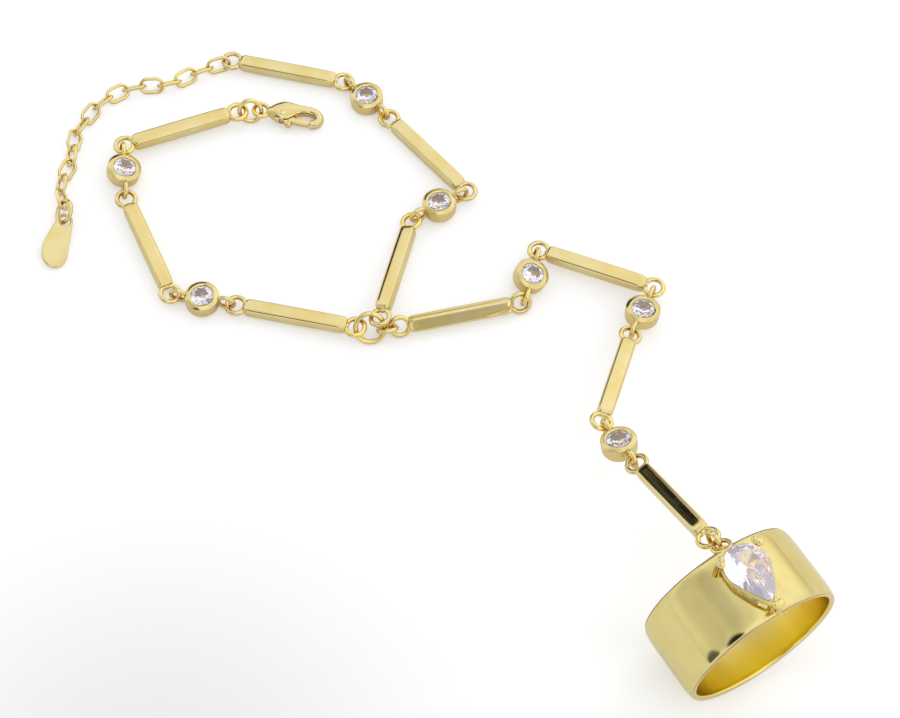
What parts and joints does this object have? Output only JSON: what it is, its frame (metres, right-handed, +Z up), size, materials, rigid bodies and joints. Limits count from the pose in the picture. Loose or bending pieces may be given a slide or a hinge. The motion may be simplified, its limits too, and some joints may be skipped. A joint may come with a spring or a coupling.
{
  "type": "hand chain bracelet",
  "caption": "Wrist chain of flat bars and round bezel links with clasp and extender, joined by a hand chain to a wide finger ring with a pear-cut stone.",
  "frame": {"origin": "middle of the bounding box, on the surface that the bracelet lies on", "axes": "+X to the right and +Y away from the viewer as it lies, +Z up"},
  "size_m": [0.0925, 0.0911, 0.0222],
  "materials": {
    "gold": "polished gold plate",
    "crystal": "clear cubic zirconia"
  },
  "bodies": {
    "bracelet": {"bar_1": "gold", "bar_2": "gold", "bar_3": "gold", "bar_4": "gold", "bar_5": "gold", "bar_6": "gold", "bar_7": "gold", "bar_8": "gold", "bar_9": "gold", "bar_10": "gold", "bezel_1": "gold", "bezel_2": "gold", "bezel_3": "gold", "bezel_4": "gold", "bezel_5": "gold", "bezel_6": "gold", "bezel_7": "gold", "stone_1": "crystal", "stone_2": "crystal", "stone_3": "crystal", "stone_4": "crystal", "stone_5": "crystal", "stone_6": "crystal", "stone_7": "crystal", "junction_ring": "gold", "hand_link": "gold", "clasp_ring": "gold", "clasp_body": "gold", "extender_chain": "gold", "end_ring": "gold", "end_tag": "gold", "ring_link": "gold", "finger_ring": "gold", "pear_stone": "crystal"},
    "clasp_lever": {"clasp_lever": "gold"}
  },
  "joints": [
    {"name": "clasp_lever_hinge", "type": "hinge", "parent": "bracelet", "child": "clasp_lever", "pos_m": [-0.01688, 0.03507, 0.00117], "axis": [0.1021, -0.0143, 0.9947], "range_deg": [0, 16], "stiffness_Nm_per_rad": 0.001, "springref_deg": -20.05}
  ]
}
